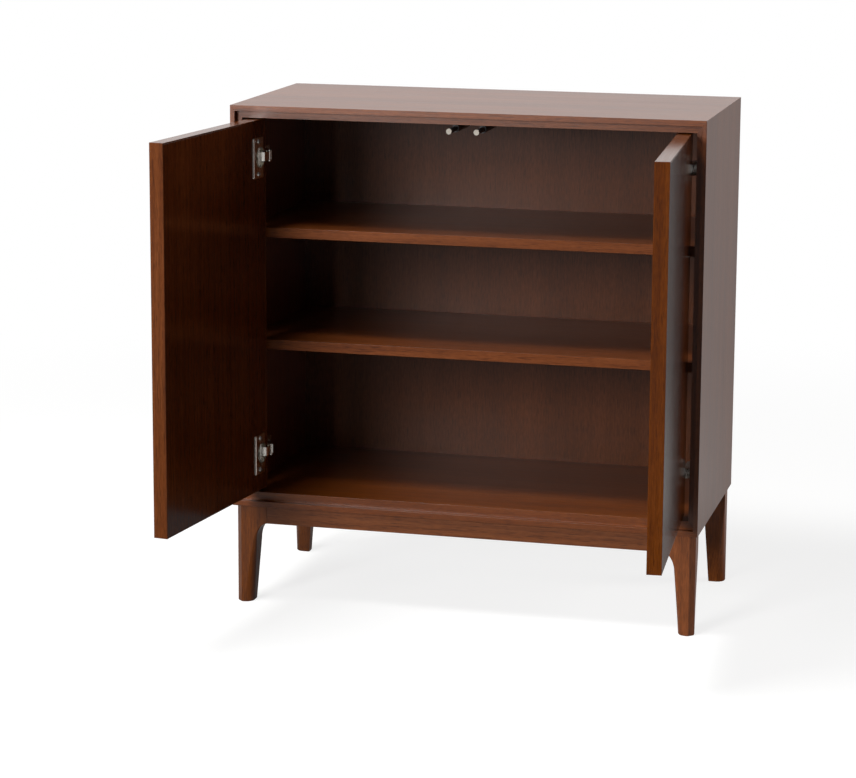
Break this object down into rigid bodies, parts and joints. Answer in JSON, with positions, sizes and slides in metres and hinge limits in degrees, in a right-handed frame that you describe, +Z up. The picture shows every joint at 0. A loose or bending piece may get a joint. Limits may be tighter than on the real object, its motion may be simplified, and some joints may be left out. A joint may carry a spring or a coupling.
{
  "type": "server cabinet",
  "caption": "Walnut dining-room server cabinet on tapered legs, with inset doors on concealed hinges, shelves on pins and push-open latches.",
  "frame": {"origin": "bottom centre of the whole cabinet, on the floor, with its doors open as stored; the case itself is centred at x = 0.0087 m, y = 0.1648 m", "axes": "+Z up, -Y out of the front, +X to the right as seen from the front"},
  "size_m": [0.7794, 0.6896, 0.816],
  "materials": {
    "walnut_case": "satin lacquer over stained walnut veneer",
    "walnut_shelf": "satin lacquer over stained walnut veneer",
    "walnut_back": "matt lacquer over stained walnut veneer",
    "walnut_base": "satin lacquer over stained solid walnut",
    "walnut_door": "satin lacquer over stained walnut veneer",
    "walnut_edging": "satin lacquer over stained solid walnut",
    "beech": "planed, unfinished",
    "grey_plastic": "moulded",
    "pale_plastic": "moulded",
    "zinc_screws": "bright zinc plate",
    "nickel_steel": "nickel plate over pressed steel"
  },
  "bodies": {
    "case": {"top_panel": "walnut_case", "bottom_panel": "walnut_case", "left_side": "walnut_case", "right_side": "walnut_case", "back_panel": "walnut_back", "back_screws": "zinc_screws", "case_dowels": "beech", "upper_shelf": "walnut_shelf", "lower_shelf": "walnut_shelf", "shelf_pins": "nickel_steel", "front_left_leg": "walnut_base", "front_right_leg": "walnut_base", "back_left_leg": "walnut_base", "back_right_leg": "walnut_base", "front_apron": "walnut_base", "back_apron": "walnut_base", "left_apron": "walnut_base", "right_apron": "walnut_base", "fixing_blocks": "beech", "base_screws": "zinc_screws", "left_hinge_arms": "nickel_steel", "left_hinge_plates": "nickel_steel", "left_plate_screws": "zinc_screws", "left_arm_screws": "zinc_screws", "right_hinge_arms": "nickel_steel", "right_hinge_plates": "nickel_steel", "right_plate_screws": "zinc_screws", "right_arm_screws": "zinc_screws", "hinge_pins": "nickel_steel", "left_latch_housing": "grey_plastic", "right_latch_housing": "grey_plastic", "latch_screws": "zinc_screws"},
    "left_door": {"left_door_panel": "walnut_door", "left_door_edging": "walnut_edging", "left_hinge_cups": "nickel_steel", "left_cup_screws": "zinc_screws"},
    "right_door": {"right_door_panel": "walnut_door", "right_door_edging": "walnut_edging", "right_hinge_cups": "nickel_steel", "right_cup_screws": "zinc_screws"},
    "left_links": {"left_hinge_links": "nickel_steel"},
    "right_links": {"right_hinge_links": "nickel_steel"},
    "left_plunger": {"left_latch_plunger": "grey_plastic", "left_latch_tip": "pale_plastic"},
    "right_plunger": {"right_latch_plunger": "grey_plastic", "right_latch_tip": "pale_plastic"}
  },
  "joints": [
    {"name": "left_door_hinge", "type": "hinge", "parent": "case", "child": "left_door", "pos_m": [-0.33986, 0.00281, 0.4904], "axis": [0, 0, -1], "range_deg": [-97.1, 7.9]},
    {"name": "left_link_hinge", "type": "hinge", "parent": "case", "child": "left_links", "pos_m": [-0.31887, 0.02134, 0.4904], "axis": [0, 0, 1], "range_deg": [-38.74, 3.24]},
    {"name": "left_plunger_slide", "type": "slide", "parent": "case", "child": "left_plunger", "axis": [0, -1, 0], "range_m": [-0.0391, 0.00327]},
    {"name": "right_door_hinge", "type": "hinge", "parent": "case", "child": "right_door", "pos_m": [0.35734, 0.00281, 0.4904], "axis": [0, 0, 1], "range_deg": [-94.1, 10.9]},
    {"name": "right_link_hinge", "type": "hinge", "parent": "case", "child": "right_links", "pos_m": [0.33636, 0.02134, 0.4904], "axis": [0, 0, -1], "range_deg": [-37.55, 4.44]},
    {"name": "right_plunger_slide", "type": "slide", "parent": "case", "child": "right_plunger", "axis": [0, -1, 0], "range_m": [-0.0391, 0.00462]}
  ],
  "couplings": [
    {"joint": "left_link_hinge", "follows": "left_door_hinge", "ratio": 0.39792},
    {"joint": "left_plunger_slide", "follows": "left_door_hinge", "m_per_rad": 0.023013},
    {"joint": "right_link_hinge", "follows": "right_door_hinge", "ratio": 0.39792},
    {"joint": "right_plunger_slide", "follows": "right_door_hinge", "m_per_rad": 0.023746}
  ]
}
